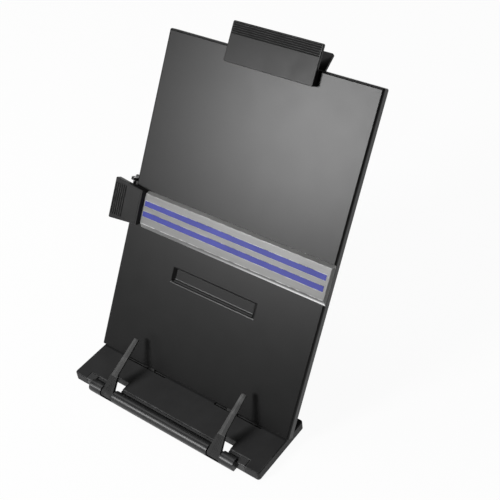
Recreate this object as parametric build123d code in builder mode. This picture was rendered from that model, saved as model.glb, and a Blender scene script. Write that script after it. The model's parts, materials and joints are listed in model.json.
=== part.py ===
from build123d import *
from math import asin, cos, hypot, pi, radians, sin, sqrt, tan
import os

os.makedirs("parts", exist_ok=True)

# Copy holder with a line guide: a sheet-steel board hinged on a flat moulded base, two page
# levers on a rod in the base's front rail, and two sprung clips that slide along the board's
# top and left edges. The left clip carries a clear line guide across the page.
# Millimetres. X runs across the board, Y to the rear, Z up. The origin lies on the desk,
# under the middle of the board's lower front edge.

# ---- clearances ----
SEAT_GAP = 0.05             # between fixed pieces that fit into each other
SHAFT_GAP = 0.05            # radial, round a rod or a pin
MOVE_GAP = 0.3              # between pieces that move past each other
ROD_CHAMFER = 0.4           # at the ends of every rod and pin

# ---- board: a shallow tray, folded at the top and both sides ----
BOARD_WIDTH = 218.0
BOARD_HEIGHT = 305.0
BOARD_TILT = 58.6           # degrees from the desk
BOARD_SHEET = 1.0
FLANGE_DEPTH = 7.4          # from the face to the flanges' rear edges
FOLD_RADIUS = 2.0           # outside, of the three folds
FLANGE_CORNER = 1.5
POCKET_WIDTH = 93.0         # pressed pocket, seat of the leg's bracket
POCKET_HEIGHT = 13.5
POCKET_FOOT = 87.0          # its lower edge, up the board
POCKET_DEPTH = 2.3
POCKET_SLOPE = 2.4          # how far its lower wall and its ends lean

# ---- hinge of the board ----
HINGE_ROD = 3.0             # diameter
HINGE_X = 48.5              # middle of each leaf
LEAF_SHEET = 1.0
LEAF_WIDTH = 24.0
LEAF_HEIGHT = 14.0          # up the board's back
LEAF_SHOULDER = 1.5         # its foot, above the board's lower edge
KNUCKLE_WIDTH = 11.0
KNUCKLE_SLIT = 0.8
BOARD_RISE = 3.3            # the board's lower edge above the hinge axis, along the board

# ---- base moulding ----
BASE_WIDTH = 214.6
BASE_REACH = 40.9           # from the board's foot to the front face
BASE_DEPTH = 66.7
BASE_HEIGHT = 9.0
BASE_CORNER = 2.6
BASE_EDGE = 1.1
BASE_WALL = 2.0
BASE_SKIN = 2.2
DESK_GAP = 0.8              # the rim's height above the desk
SLOT_X = 55.0               # middle of each hinge slot
SLOT_LENGTH = 52.0
SLOT_AHEAD = 2.9            # from the hinge axis to the slot's front edge
SLOT_BEHIND = 5.1
LEAF_ROOM = 0.5             # under the leaf when the board lies flat
LEAF_SIDE_ROOM = 1.5        # beside and behind it
ROD_SEAT = 3.0              # length of rod held at each end of a slot
SADDLE_WIDTH = 9.0
SADDLE_DROP = 1.3
SADDLE_WALL = 1.0

# ---- bottom plate, screws and feet ----
PLATE_SHEET = 1.2
PLATE_RECESS = 0.8          # above the base's rim
PLATE_GAP = 0.2
SADDLE_TAB = 6.0            # width of the plate's tabs under the hinge rods
SCREW_SHANK = 3.0
SCREW_HEAD = 5.4
SCREW_HEAD_HEIGHT = 1.1
SCREW_HEAD_TAPER = 18.0     # degrees
SCREW_GRIP = 4.2            # length of thread in a boss
BOSS_DIAMETER = 6.4
REAR_SCREW_X = 97.0
REAR_SCREW_Y = 17.0
DRIVE_SLOT = 0.8
FOOT_STRIP_LENGTH = 150.0
FOOT_STRIP_WIDTH = 8.0
FOOT_PAD_WIDTH = 9.0
FOOT_PAD_LENGTH = 12.0
FOOT_PAD_INSET = 0.7         # from the bottom plate's edges
FOOT_CORNER = 2.0
FOOT_EDGE = 0.4

# ---- front rail ----
RAIL_LENGTH = 185.0
RAIL_DEPTH = 7.7            # of the base's notch
RAIL_GAP = 0.1
BAR_RADIUS = 5.8
BAR_AHEAD = 0.7             # from the base's front face to the bar's axis
BAR_LENGTH = 167.0
BAR_CLEAR = 0.25            # from the base's rim up to the bar's underside
LEDGE_DROP = 1.0            # the ledge's top, below the base's top
LEDGE_DEPTH = 2.2
GROOVE_WIDTH = 0.8
GROOVE_DEPTH = 2.8
LIP_SETBACK = 0.8           # behind the bar's front
LIP_LEAN = 1.6
LIP_HEIGHT = 2.7
LUG_WIDTH = 16.0
LUG_DEPTH = 8.6
LUG_X = (-84.0, -40.0, 0.0, 40.0, 84.0)
LUG_Y = 5.0                 # from the seam to the lugs' screws
CORE_WIDTH = 5.6
CORE_LENGTH = 13.0
CORE_HEIGHT = 2.4
CORE_PITCH = 16.0
CORES = 6

# ---- page levers ----
LEVER_X = 62.4
LEVER_ROD = 3.0
LEVER_ROD_LENGTH = 162.0
LEVER_ANGLE = 25.5          # degrees above the desk
HUB_RADIUS = 4.6
HUB_WIDTH = 13.2
HUB_SIDE_GAP = 0.4
HUB_TAPER = 2.0             # ahead of the rod, where the web starts to narrow
ARM_REACH = 55.1
ARM_LIFT = 7.5              # its underside, above the line through the rod
ARM_THICKNESS = 2.8
ARM_RIDGE = 0.9             # height of the ridge along its top
ARM_ROOT_WIDTH = 6.8
ARM_TIP_WIDTH = 4.9
ARM_TIP_CHAMFER = 0.8
STEP_REACH = 15.0           # where the arm leaves the hub's web
STEP_HEIGHT = 1.0
STEP_FLARE = 0.6            # added to each side of the arm's root
WEB_ANGLE = 25.0            # where the web's underside leaves the hub, degrees above the arm's line
WEB_FOOT = 19.0             # where the web's underside meets the arm
WINDOW_WIDTH = 18.0
WINDOW_DEPTH = 9.3          # behind the seam

# ---- leg ----
WIRE = 4.0
LEG_WIDTH = 92.0            # between the centre lines of its two sides
LEG_LENGTH = 100.0          # from its pivot to its crossbar
LEG_BEND = 4.0
SLEEVE_RADIUS = 3.4
SLEEVE_LENGTH = 70.0
BRACKET_SHEET = 1.2
BRACKET_HEIGHT = 15.8
BRACKET_SIDE_GAP = 0.5
BRACKET_WIRE_GAP = 0.5
EAR_RADIUS = 3.2
CAP_RADIUS = 3.4
CAP_WALL = 1.0
CAP_GRIP = 2.0              # length of wire in each cap

# ---- both clips ----
CLIP_PIN = 3.0
PIN_BEYOND = 5.5            # from the board's edge to the pin
PIN_BEHIND = 3.5            # from the board's face back to the pin
CLIP_LUG = 3.6              # radius of the lugs round the pin
CLIP_LUG_WIDTH = 3.0
REAR_SHEET = 2.5            # thickness of the rear plates
REAR_REACH = 20.0           # of their jaws, in from the board's edge
HANDLE_FLARE = 26.7         # degrees
HANDLE_LENGTH = 16.5
JAW_CLEAR = 0.9             # from the board's face to the front jaws' rims
JAW_WALL = 1.6
PAD_ROOM = 2.6              # depth of the pads' seats
SPRING_WIRE = 1.1
SPRING_RADIUS = 2.9         # to the wire's middle
SPRING_PITCH = 1.75
SPRING_TURNS = 7.35
SPRING_HALF_TURNS = 15      # steps that the coil is drawn in
SPRING_FRONT_LEG = 5.0
SPRING_REAR_LEG = 8.0
SPRING_FRONT_LEAN = 8.0     # degrees, of the front leg towards the front plate

# ---- top clip ----
TOP_CLIP_WIDTH = 90.3
TOP_CLIP_X = 4.65
TOP_CLIP_REACH = 14.0       # down the board's face
TOP_CLIP_ABOVE = 20.7       # above the board's top edge
TOP_CLIP_LIFT = 6.5         # its front surface at the foot
TOP_CLIP_LEAN = 3.0         # degrees
TOP_CLIP_SHEET = 2.6
TOP_CLIP_CORNER = 1.5
TOP_CLIP_EDGE = 0.6
TOP_JAW_DEPTH = 13.2        # of the rim round the pad
TOP_GRIP = 10.4             # from the top edge to the lowest groove
TOP_LUG_X = 24.0
GROOVE_PITCH = 1.8
GROOVE_CUT = 0.8
GROOVE_SINK = 0.45
TOP_GROOVES = 6
GROOVE_END = 1.4            # plain margin at each end of the grooves

# ---- guide clip ----
GUIDE_FOOT = 122.5          # lower end of its front plate, up the board
GUIDE_HEIGHT = 39.5
GUIDE_REACH = 16.4          # over the board's face
GUIDE_BEYOND = 18.5         # outside the board's left edge
GUIDE_LIFT = 8.0
GUIDE_BEVEL = 1.4
GUIDE_BEVEL_DROP = 3.4
GUIDE_TAPER = 3.6           # how far each end runs in towards the guide
GUIDE_CORNER = 1.2
GUIDE_EDGE = 0.7
GUIDE_SHELL = 2.2
GUIDE_RIM = 5.4             # depth of the rim round the grip
GUIDE_REAR_TOP = 3.0        # of its rear plate, above the front plate
GUIDE_REAR_FOOT = 1.5       # of its rear plate, above the front plate's foot
GUIDE_LUG_Y = 10.0          # of the front lugs, from the clip's middle
GUIDE_GROOVE_START = 2.2    # from the outer edge to the first groove
GUIDE_GROOVE_PITCH = 2.4
GUIDE_GROOVE_CUT = 1.1
GUIDE_GROOVE_SINK = 0.5
GUIDE_GROOVES = 6
GUIDE_GRIP_END = 4.5        # plain margin at each end of the grooves

# ---- line guide ----
RULER_FOOT = 123.6          # lower edge of its rim, up the board
RULER_HEIGHT = 35.3
RULER_BEYOND = 0.8          # past the board's right edge
RULER_LIFT = 4.1            # its face above the board's
RULER_CLEAR = 0.4           # its rim above the board's face
RULER_WALL = 1.1
RULER_FOOT_BEVEL = 4.6
RULER_TOP_BEVEL = 2.4
RULER_END_BEVEL = 1.6
TONGUE_LENGTH = 7.0         # of the guide's end, held in the clip
TONGUE_WIDTH = 25.0
TONGUE_SHEET = 1.8
STRIPE_DEPTH = 0.4
STRIPE_WIDTH = 4.9
STRIPE_UPPER = 147.3        # middle of the upper stripe, up the board
STRIPE_LOWER = 137.5
STRIPE_END = 4.3            # from the stripes' ends to the guide's end

# ---- frames and places worked out from the sizes ----
up_y = cos(radians(BOARD_TILT))
up_z = sin(radians(BOARD_TILT))
base_top = DESK_GAP + BASE_HEIGHT
skin_under = base_top - BASE_SKIN
base_front_y = -BASE_REACH
base_rear_y = BASE_DEPTH - BASE_REACH
seam_y = base_front_y + RAIL_DEPTH
plate_under = DESK_GAP + PLATE_RECESS
plate_top = plate_under + PLATE_SHEET

knuckle_inner = HINGE_ROD / 2 + SHAFT_GAP
knuckle_outer = knuckle_inner + LEAF_SHEET
hinge_ahead = knuckle_outer + BOARD_SHEET     # the board's face, ahead of the hinge axis
hinge_z = base_top + MOVE_GAP - knuckle_outer
hinge_y = hinge_ahead * up_z - BOARD_RISE * up_y
board_foot_z = hinge_z + BOARD_RISE * up_z + hinge_ahead * up_y
board = Plane(origin=(0, 0, board_foot_z), x_dir=(1, 0, 0), z_dir=(0, -up_z, up_y))
out_of_face = Axis(board.origin, board.z_dir)
up_board = Axis(board.origin, board.y_dir)
across = Axis.X

bar_y = base_front_y - BAR_AHEAD
bar_z = DESK_GAP + BAR_CLEAR + BAR_RADIUS
pocket_back = POCKET_DEPTH + BOARD_SHEET
bracket_back = pocket_back + BRACKET_SHEET
pivot_up = POCKET_FOOT + POCKET_HEIGHT / 2
pivot_behind = bracket_back + BRACKET_WIRE_GAP + WIRE / 2


def face_plane(height):
    """Parallel to the board's face, `height` in front of it; local axes across and up."""
    return board.offset(height)


def side_plane(x):
    """Cuts the board from foot to top at `x`; local axes up the board and out of its face."""
    return Plane(origin=board.from_local_coords((x, 0, 0)), x_dir=board.y_dir, z_dir=board.x_dir)


def cross_plane(up):
    """Cuts the board across at `up`; local axes across and out of its face, normal downward."""
    origin = board.from_local_coords((0, up, 0))
    return Plane(origin=origin, x_dir=board.x_dir, z_dir=board.y_dir * -1)


# ---- base moulding: skin, rim, bosses, saddles of the hinge rods ----
with BuildSketch(Plane.XY.offset(DESK_GAP)) as base_outline:
    with Locations((0, (base_front_y + base_rear_y) / 2)):
        RectangleRounded(BASE_WIDTH, BASE_DEPTH, BASE_CORNER)
    with Locations((0, base_front_y)):
        Rectangle(RAIL_LENGTH + 2 * RAIL_GAP, 2 * RAIL_DEPTH, mode=Mode.SUBTRACT)

rear_screws = [(-REAR_SCREW_X, REAR_SCREW_Y), (0, REAR_SCREW_Y), (REAR_SCREW_X, REAR_SCREW_Y)]
screw_places = [(x, seam_y + LUG_Y) for x in LUG_X] + rear_screws
window_places = [(-LEVER_X, seam_y), (LEVER_X, seam_y)]
slot_y = hinge_y + (SLOT_BEHIND - SLOT_AHEAD) / 2
slot_width = SLOT_AHEAD + SLOT_BEHIND
slot_places = [(-SLOT_X, slot_y), (SLOT_X, slot_y)]
saddle_offset = SLOT_LENGTH / 2 + ROD_SEAT / 2
saddle_xs = [side * SLOT_X + end * saddle_offset for side in (-1, 1) for end in (-1, 1)]
saddle_places = [(x, hinge_y) for x in saddle_xs]
leaf_floor = hinge_z + knuckle_inner - LEAF_ROOM
leaf_recess_width = LEAF_WIDTH + 2 * LEAF_SIDE_ROOM
leaf_recess_depth = BOARD_RISE + LEAF_HEIGHT + LEAF_SIDE_ROOM

with BuildPart() as base_plate:
    add(base_outline.sketch)
    extrude(amount=BASE_HEIGHT)
    fillet(base_plate.faces().sort_by(Axis.Z)[-1].edges(), radius=BASE_EDGE)
    with BuildSketch(Plane.XY.offset(DESK_GAP)):
        add(base_outline.sketch.faces())
        offset(amount=-BASE_WALL, kind=Kind.INTERSECTION)
    extrude(amount=BASE_HEIGHT - BASE_SKIN, mode=Mode.SUBTRACT)
    with BuildSketch(Plane.XY.offset(plate_top)):
        with Locations(*screw_places):
            Circle(BOSS_DIAMETER / 2)
    extrude(amount=skin_under - plate_top)
    with BuildSketch(Plane.XY.offset(DESK_GAP)):
        with Locations(*window_places):
            block_size = (WINDOW_WIDTH + 2 * BASE_WALL, WINDOW_DEPTH + BASE_WALL)
            Rectangle(*block_size, align=(Align.CENTER, Align.MIN))
    extrude(amount=skin_under - DESK_GAP)
    with BuildSketch(Plane.XY.offset(skin_under - SADDLE_DROP)):
        with Locations(*saddle_places):
            Rectangle(ROD_SEAT + 2 * SADDLE_WALL, SADDLE_WIDTH)
    extrude(amount=SADDLE_DROP)
    with BuildSketch(Plane.XY.offset(DESK_GAP)):
        with Locations(*window_places):
            Rectangle(WINDOW_WIDTH, 2 * WINDOW_DEPTH)
    extrude(amount=BASE_HEIGHT, mode=Mode.SUBTRACT)
    with BuildSketch(Plane.XY.offset(base_top)):
        with Locations(*slot_places):
            Rectangle(SLOT_LENGTH, slot_width)
    extrude(amount=-BASE_SKIN - SADDLE_DROP, mode=Mode.SUBTRACT)
    with BuildSketch(Plane.XY.offset(base_top)):
        with Locations((-HINGE_X, hinge_y), (HINGE_X, hinge_y)):
            Rectangle(leaf_recess_width, leaf_recess_depth, align=(Align.CENTER, Align.MIN))
    extrude(amount=leaf_floor - base_top, mode=Mode.SUBTRACT)
    with BuildSketch(Plane.XY.offset(DESK_GAP)):
        with Locations(*[(x, seam_y) for x in LUG_X]):
            Rectangle(LUG_WIDTH + 2 * RAIL_GAP, 2 * BASE_WALL)
    extrude(amount=skin_under - DESK_GAP, mode=Mode.SUBTRACT)
    with BuildSketch(Plane.XY.offset(plate_top)):
        with Locations(*screw_places):
            Circle(SCREW_SHANK / 2 + SEAT_GAP)
    extrude(amount=SCREW_GRIP, mode=Mode.SUBTRACT)
    for side in (-1, 1):
        with BuildSketch(Plane.YZ.offset(side * SLOT_X - SLOT_LENGTH / 2 - ROD_SEAT)):
            with Locations((hinge_y, hinge_z)):
                Circle(knuckle_inner)
                Rectangle(2 * knuckle_inner, hinge_z - plate_top, align=(Align.CENTER, Align.MAX))
        extrude(amount=SLOT_LENGTH + 2 * ROD_SEAT, mode=Mode.SUBTRACT)
base_plate.part.label = "base_plate"
export_step(base_plate.part, "parts/base_plate.step")

# ---- bottom plate: closes the base, weights it and holds the hinge rods in their saddles ----
with BuildPart() as bottom_plate:
    with BuildSketch(Plane.XY.offset(plate_under)):
        add(base_outline.sketch.faces())
        offset(amount=-BASE_WALL - PLATE_GAP, kind=Kind.INTERSECTION)
        with Locations(*window_places):
            wall_room = BASE_WALL + PLATE_GAP
            Rectangle(WINDOW_WIDTH + 2 * wall_room, 2 * (WINDOW_DEPTH + wall_room), mode=Mode.SUBTRACT)
        with Locations(*screw_places):
            Circle(SCREW_SHANK / 2 + SEAT_GAP, mode=Mode.SUBTRACT)
    extrude(amount=PLATE_SHEET)
    with BuildSketch(Plane.XY.offset(plate_top)):
        with Locations(*saddle_places):
            Rectangle(PLATE_SHEET, SADDLE_TAB)
    extrude(amount=hinge_z - HINGE_ROD / 2 - SEAT_GAP - plate_top)
bottom_plate.part.label = "bottom_plate"
export_step(bottom_plate.part, "parts/bottom_plate.step")

# ---- screws: pan heads under the plate ----
with BuildPart() as base_screws:
    with BuildSketch(Plane.XY.offset(plate_under)):
        with Locations(*screw_places):
            Circle(SCREW_SHANK / 2)
    extrude(amount=PLATE_SHEET + SCREW_GRIP - SEAT_GAP)
    with BuildSketch(Plane.XY.offset(plate_under)):
        with Locations(*screw_places):
            Circle(SCREW_HEAD / 2)
    extrude(amount=-SCREW_HEAD_HEIGHT, taper=SCREW_HEAD_TAPER)
    with BuildSketch(Plane.XY.offset(plate_under - SCREW_HEAD_HEIGHT)):
        with Locations(*screw_places):
            Rectangle(SCREW_HEAD / 2, DRIVE_SLOT)
            Rectangle(DRIVE_SLOT, SCREW_HEAD / 2)
    extrude(amount=SCREW_HEAD_HEIGHT / 2, mode=Mode.SUBTRACT)
base_screws.part.label = "base_screws"
export_step(base_screws.part, "parts/base_screws.step")

# ---- rubber feet: a strip under the hinge line and a pad at each front corner ----
pad_margin = BASE_WALL + PLATE_GAP + FOOT_PAD_INSET
pad_x = BASE_WIDTH / 2 - pad_margin - FOOT_PAD_WIDTH / 2
pad_y = base_front_y + pad_margin + FOOT_PAD_LENGTH / 2
with BuildPart() as base_feet:
    with BuildSketch(Plane.XY.offset(plate_under)):
        RectangleRounded(FOOT_STRIP_LENGTH, FOOT_STRIP_WIDTH, FOOT_CORNER)
        with Locations((-pad_x, pad_y), (pad_x, pad_y)):
            RectangleRounded(FOOT_PAD_WIDTH, FOOT_PAD_LENGTH, FOOT_CORNER)
    extrude(amount=-plate_under)
    chamfer(base_feet.faces().sort_by(Axis.Z)[:3].edges(), length=FOOT_EDGE)
base_feet.part.label = "base_feet"
export_step(base_feet.part, "parts/base_feet.step")

# ---- front rail: round bar, ledge, lip, end tabs and the lugs that hook on the base ----
rail_bottom = DESK_GAP + SEAT_GAP
rail_back_y = seam_y - RAIL_GAP
lip_y = bar_y - BAR_RADIUS + LIP_SETBACK
ledge_z = base_top - LEDGE_DROP
ledge_front_y = rail_back_y - LEDGE_DEPTH
tab_length = (RAIL_LENGTH - BAR_LENGTH) / 2
gap_width = HUB_WIDTH + 2 * HUB_SIDE_GAP
hub_room = HUB_RADIUS + HUB_SIDE_GAP
lug_top = skin_under - RAIL_GAP
rod_bore = LEVER_ROD / 2 + SEAT_GAP

with BuildPart() as front_rail:
    with BuildSketch(Plane.YZ.offset(-RAIL_LENGTH / 2 + tab_length)):
        with BuildLine():
            Polyline(
                (rail_back_y, rail_bottom),
                (lip_y + LIP_LEAN, rail_bottom),
                (lip_y, rail_bottom + LIP_HEIGHT),
                (bar_y, bar_z),
                (ledge_front_y - GROOVE_WIDTH, bar_z),
                (ledge_front_y - GROOVE_WIDTH, ledge_z - GROOVE_DEPTH),
                (ledge_front_y, ledge_z - GROOVE_DEPTH),
                (ledge_front_y, ledge_z),
                (rail_back_y, ledge_z),
                close=True,
            )
        make_face()
        with Locations((bar_y, bar_z)):
            Circle(BAR_RADIUS)
        with Locations((ledge_front_y - GROOVE_WIDTH / 2, ledge_z)):
            Rectangle(GROOVE_WIDTH, 2 * GROOVE_DEPTH, mode=Mode.SUBTRACT)
    extrude(amount=BAR_LENGTH)
    for tab_start in (-RAIL_LENGTH / 2, RAIL_LENGTH / 2 - tab_length):
        with BuildSketch(Plane.YZ.offset(tab_start)) as tab:
            with Locations((base_front_y, rail_bottom)):
                Rectangle(rail_back_y - base_front_y, base_top - rail_bottom, align=(Align.MIN, Align.MIN))
            fillet(tab.vertices().group_by(Axis.X)[0].sort_by(Axis.Y)[-1], radius=BASE_EDGE)
        extrude(amount=tab_length)
    with BuildSketch(Plane.XY.offset(plate_top + SEAT_GAP)):
        with Locations(*[(x, rail_back_y) for x in LUG_X]):
            Rectangle(LUG_WIDTH, LUG_DEPTH, align=(Align.CENTER, Align.MIN))
        with Locations(*[(x, seam_y + LUG_Y) for x in LUG_X]):
            Circle(BOSS_DIAMETER / 2 + RAIL_GAP, mode=Mode.SUBTRACT)
    extrude(amount=lug_top - plate_top - SEAT_GAP)
    for side in (-1, 1):
        with BuildSketch(Plane.YZ.offset(side * LEVER_X - gap_width / 2)):
            with Locations((bar_y, bar_z)):
                Circle(hub_room)
            with Locations((bar_y + hub_room, rail_bottom + LIP_HEIGHT)):
                Rectangle(hub_room + 2 * BAR_RADIUS, 2 * BAR_RADIUS, align=(Align.MAX, Align.MIN))
        extrude(amount=gap_width, mode=Mode.SUBTRACT)
        with BuildSketch(Plane.XY.offset(rail_bottom)):
            with Locations((side * LEVER_X, rail_back_y)):
                Rectangle(WINDOW_WIDTH, LEDGE_DEPTH + GROOVE_WIDTH, align=(Align.CENTER, Align.MAX))
                Rectangle(gap_width, rail_back_y - bar_y - HUB_RADIUS / 2, align=(Align.CENTER, Align.MAX))
        extrude(amount=BASE_HEIGHT, mode=Mode.SUBTRACT)
    with BuildSketch(Plane.YZ.offset(-RAIL_LENGTH / 2)):
        with Locations((bar_y, bar_z)):
            Circle(rod_bore)
    extrude(amount=(RAIL_LENGTH + LEVER_ROD_LENGTH) / 2 + SEAT_GAP, mode=Mode.SUBTRACT)
    with BuildSketch(Plane.XY.offset(rail_bottom)):
        with Locations((0, bar_y)):
            with GridLocations(CORE_PITCH, CORE_WIDTH, CORES, 1):
                Rectangle(CORE_LENGTH, CORE_WIDTH)
    extrude(amount=CORE_HEIGHT, mode=Mode.SUBTRACT)
front_rail.part.label = "front_rail"
export_step(front_rail.part, "parts/front_rail.step")

with BuildPart() as lever_rod:
    with BuildSketch(Plane.YZ.offset(-LEVER_ROD_LENGTH / 2)):
        with Locations((bar_y, bar_z)):
            Circle(LEVER_ROD / 2)
    extrude(amount=LEVER_ROD_LENGTH)
    chamfer(lever_rod.edges().filter_by(GeomType.CIRCLE), length=ROD_CHAMFER)
lever_rod.part.label = "lever_rod"
export_step(lever_rod.part, "parts/lever_rod.step")

# ---- page levers: hub, web that climbs to the step, ridged arm ----
arm_y = cos(radians(LEVER_ANGLE))
arm_z = sin(radians(LEVER_ANGLE))
arm_top = ARM_LIFT + ARM_THICKNESS


def arm_section(x, reach):
    """Square to a lever's arm at `reach` from its rod; local axes across and above the arm."""
    origin = (x, bar_y + reach * arm_y, bar_z + reach * arm_z)
    return Plane(origin=origin, x_dir=(-1, 0, 0), z_dir=(0, arm_y, arm_z))


for side, lever_x in (("left", -LEVER_X), ("right", LEVER_X)):
    web_origin = (lever_x - HUB_WIDTH / 2, bar_y, bar_z)
    web_plane = Plane(origin=web_origin, x_dir=(0, arm_y, arm_z), z_dir=(1, 0, 0))
    plan_plane = Plane(origin=(lever_x, bar_y, bar_z), x_dir=(0, arm_y, arm_z), z_dir=(0, -arm_z, arm_y))
    with BuildPart() as lever:
        with BuildSketch(web_plane):
            with BuildLine():
                Polyline(
                    (0, HUB_RADIUS),
                    (STEP_REACH, arm_top - STEP_HEIGHT),
                    (WEB_FOOT, arm_top - STEP_HEIGHT),
                    (WEB_FOOT, ARM_LIFT),
                    (HUB_RADIUS * cos(radians(WEB_ANGLE)), HUB_RADIUS * sin(radians(WEB_ANGLE))),
                    (0, 0),
                    close=True,
                )
            make_face()
            Circle(HUB_RADIUS)
        extrude(amount=HUB_WIDTH)
        with BuildSketch(plan_plane):
            with BuildLine():
                Polyline(
                    (-HUB_RADIUS * 2, HUB_WIDTH / 2),
                    (-HUB_TAPER, HUB_WIDTH / 2),
                    (STEP_REACH, ARM_ROOT_WIDTH / 2 + STEP_FLARE),
                    (WEB_FOOT, ARM_ROOT_WIDTH / 2),
                    (WEB_FOOT, -ARM_ROOT_WIDTH / 2),
                    (STEP_REACH, -ARM_ROOT_WIDTH / 2 - STEP_FLARE),
                    (-HUB_TAPER, -HUB_WIDTH / 2),
                    (-HUB_RADIUS * 2, -HUB_WIDTH / 2),
                    close=True,
                )
            make_face()
        extrude(amount=arm_top, both=True, mode=Mode.INTERSECT)
        for reach, width in ((STEP_REACH, ARM_ROOT_WIDTH), (ARM_REACH, ARM_TIP_WIDTH)):
            with BuildSketch(arm_section(lever_x, reach)):
                with BuildLine():
                    Polyline(
                        (-width / 2, ARM_LIFT),
                        (width / 2, ARM_LIFT),
                        (width / 2, arm_top - ARM_RIDGE),
                        (0, arm_top),
                        (-width / 2, arm_top - ARM_RIDGE),
                        close=True,
                    )
                make_face()
        loft()
        arm_end = lever.faces().sort_by(Axis((0, 0, 0), (0, arm_y, arm_z)))[-1]
        chamfer(arm_end.edges(), length=ARM_TIP_CHAMFER)
        with BuildSketch(Plane.YZ.offset(lever_x - HUB_WIDTH / 2)):
            with Locations((bar_y, bar_z)):
                Circle(LEVER_ROD / 2 + SHAFT_GAP)
        extrude(amount=HUB_WIDTH, mode=Mode.SUBTRACT)
    lever.part.label = f"lever_{side}"
    export_step(lever.part, f"parts/lever_{side}.step")

# ---- hinge rods and the leaves that turn on them ----
for side, slot_x in (("left", -SLOT_X), ("right", SLOT_X)):
    with BuildPart() as hinge_rod:
        with BuildSketch(Plane.YZ.offset(slot_x - SLOT_LENGTH / 2 - ROD_SEAT + SEAT_GAP)):
            with Locations((hinge_y, hinge_z)):
                Circle(HINGE_ROD / 2)
        extrude(amount=SLOT_LENGTH + 2 * (ROD_SEAT - SEAT_GAP))
        chamfer(hinge_rod.edges().filter_by(GeomType.CIRCLE), length=ROD_CHAMFER)
    hinge_rod.part.label = f"hinge_rod_{side}"
    export_step(hinge_rod.part, f"parts/hinge_rod_{side}.step")

leaf_shank = BOARD_RISE + LEAF_SHOULDER
slit_length = 2 * knuckle_outer
for side, leaf_x in (("left", -HINGE_X), ("right", HINGE_X)):
    with BuildPart() as hinge_leaf:
        with BuildSketch(side_plane(leaf_x - KNUCKLE_WIDTH / 2)):
            with Locations((-BOARD_RISE, -hinge_ahead)):
                Circle(knuckle_outer)
                Rectangle(leaf_shank, knuckle_outer, align=(Align.MIN, Align.MIN))
                Circle(knuckle_inner, mode=Mode.SUBTRACT)
                Rectangle(leaf_shank, knuckle_inner, align=(Align.MIN, Align.MIN), mode=Mode.SUBTRACT)
            with Locations((-BOARD_RISE, -hinge_ahead)):
                Rectangle(slit_length, KNUCKLE_SLIT, align=(Align.MIN, Align.CENTER), mode=Mode.SUBTRACT)
        extrude(amount=KNUCKLE_WIDTH)
        with BuildSketch(face_plane(-BOARD_SHEET)):
            with Locations((leaf_x, LEAF_SHOULDER)):
                Rectangle(LEAF_WIDTH, LEAF_HEIGHT - LEAF_SHOULDER, align=(Align.CENTER, Align.MIN))
        extrude(amount=-LEAF_SHEET)
    hinge_leaf.part.label = f"hinge_leaf_{side}"
    export_step(hinge_leaf.part, f"parts/hinge_leaf_{side}.step")

# ---- board: tray with three flanges and a pressed pocket ----
pocket_top = POCKET_FOOT + POCKET_HEIGHT


def pocket_slice(height, share, wall):
    """Rectangle of the pocket at `height`, at `share` of its slope, grown by `wall`."""
    half = POCKET_WIDTH / 2 - share * POCKET_SLOPE + wall
    foot = POCKET_FOOT + share * POCKET_SLOPE - wall
    with BuildSketch(face_plane(height)) as rectangle:
        with Locations((0, foot)):
            Rectangle(2 * half, pocket_top + wall - foot, align=(Align.CENTER, Align.MIN))
    return rectangle.sketch


with BuildPart() as board_panel:
    with BuildSketch(face_plane(-FLANGE_DEPTH)):
        Rectangle(BOARD_WIDTH, BOARD_HEIGHT, align=(Align.CENTER, Align.MIN))
    extrude(amount=FLANGE_DEPTH)
    top_corners = board_panel.edges().filter_by(out_of_face).group_by(up_board)[-1]
    fillet(top_corners, radius=FLANGE_CORNER)
    front_edges = board_panel.faces().sort_by(out_of_face)[-1].edges().sort_by(up_board)
    fillet(front_edges[1:], radius=FOLD_RADIUS)
    with BuildSketch(face_plane(-FLANGE_DEPTH)):
        inner_size = (BOARD_WIDTH - 2 * BOARD_SHEET, BOARD_HEIGHT - BOARD_SHEET)
        Rectangle(*inner_size, align=(Align.CENTER, Align.MIN))
    extrude(amount=FLANGE_DEPTH - BOARD_SHEET, mode=Mode.SUBTRACT)
    sheet_back = board_panel.faces().filter_by(out_of_face).sort_by(out_of_face)[-2]
    fillet(sheet_back.edges().sort_by(up_board)[1:], radius=FOLD_RADIUS - BOARD_SHEET)
    loft([pocket_slice(-BOARD_SHEET / 2, 0, BOARD_SHEET), pocket_slice(-pocket_back, 1, BOARD_SHEET)])
    loft([pocket_slice(0, 0, 0), pocket_slice(-POCKET_DEPTH, 1, 0)], mode=Mode.SUBTRACT)
board_panel.part.label = "board_panel"
export_step(board_panel.part, "parts/board_panel.step")

# ---- leg: bracket behind the pocket, bent wire, rubber sleeve, end caps ----
pivot = board.from_local_coords((0, pivot_up, -pivot_behind))
leg_drop = asin((pivot.Z - SLEEVE_RADIUS) / LEG_LENGTH)
leg_plane = Plane(origin=pivot, x_dir=(1, 0, 0), z_dir=(0, sin(leg_drop), cos(leg_drop)))
ear_inner = LEG_WIDTH / 2 + LEG_BEND + BRACKET_SIDE_GAP
bracket_width = 2 * (ear_inner + BRACKET_SHEET)
wire_bore = WIRE / 2 + SHAFT_GAP
bracket_foot = pivot_up - BRACKET_HEIGHT / 2
cap_inner = ear_inner + BRACKET_SHEET + MOVE_GAP
leg_end = cap_inner + CAP_GRIP

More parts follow.
